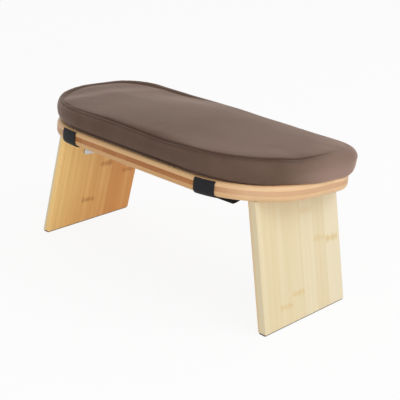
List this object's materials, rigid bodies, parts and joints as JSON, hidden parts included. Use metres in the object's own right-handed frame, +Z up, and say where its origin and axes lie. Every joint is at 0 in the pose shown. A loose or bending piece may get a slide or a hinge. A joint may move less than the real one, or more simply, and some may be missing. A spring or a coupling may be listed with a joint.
{
  "type": "folding meditation bench",
  "caption": "Low kneeling bench: a cushioned D-shaped bamboo seat strapped over a board on splayed panel legs that fold flat under it on butt hinges.",
  "frame": {"origin": "on the floor, under the middle of the bench's bounding box", "axes": "+X along the seat's length to the right as the sitter's curved front edge is seen, +Y across it to the straight long edge, +Z up"},
  "size_m": [0.4521, 0.2125, 0.2113],
  "materials": {
    "bamboo": "satin lacquered three-ply bamboo, darker core in the edge",
    "bamboo_leg": "satin lacquered strip bamboo, strips running down the leg",
    "cushion_fabric": "brown peach-skin fabric, sewn seam round the top",
    "foam": "cut polyurethane foam",
    "tape": "black hook-and-loop tape",
    "hinge_steel": "zinc plated",
    "screw_steel": "zinc plated",
    "rubber": "matt black"
  },
  "bodies": {
    "seat": {"seat_board": "bamboo", "cushion_cover": "cushion_fabric", "cushion_base": "cushion_fabric", "cushion_foam": "foam", "left_hinge_seat_leaf": "hinge_steel", "left_hinge_pin": "hinge_steel", "left_loop_strap": "tape", "left_hook_strap": "tape", "left_seat_screw_1": "screw_steel", "left_seat_screw_2": "screw_steel", "left_seat_screw_3": "screw_steel", "right_hinge_seat_leaf": "hinge_steel", "right_hinge_pin": "hinge_steel", "right_loop_strap": "tape", "right_hook_strap": "tape", "right_seat_screw_1": "screw_steel", "right_seat_screw_2": "screw_steel", "right_seat_screw_3": "screw_steel"},
    "left_leg": {"left_leg": "bamboo_leg", "left_foot_strip": "rubber", "left_hinge_leg_leaf": "hinge_steel", "left_leg_screw_1": "screw_steel", "left_leg_screw_2": "screw_steel", "left_leg_screw_3": "screw_steel"},
    "right_leg": {"right_leg": "bamboo_leg", "right_foot_strip": "rubber", "right_hinge_leg_leaf": "hinge_steel", "right_leg_screw_1": "screw_steel", "right_leg_screw_2": "screw_steel", "right_leg_screw_3": "screw_steel"}
  },
  "joints": [
    {"name": "left_leg_fold", "type": "hinge", "parent": "seat", "child": "left_leg", "pos_m": [-0.17005, 0.00639, 0.14768], "axis": [0, -0.9959, 0.0906], "range_deg": [0, 102.5]},
    {"name": "right_leg_fold", "type": "hinge", "parent": "seat", "child": "right_leg", "pos_m": [0.17005, 0.00639, 0.14768], "axis": [0, 0.9959, -0.0906], "range_deg": [0, 102.5], "deforming": ["right_hook_strap"]}
  ]
}
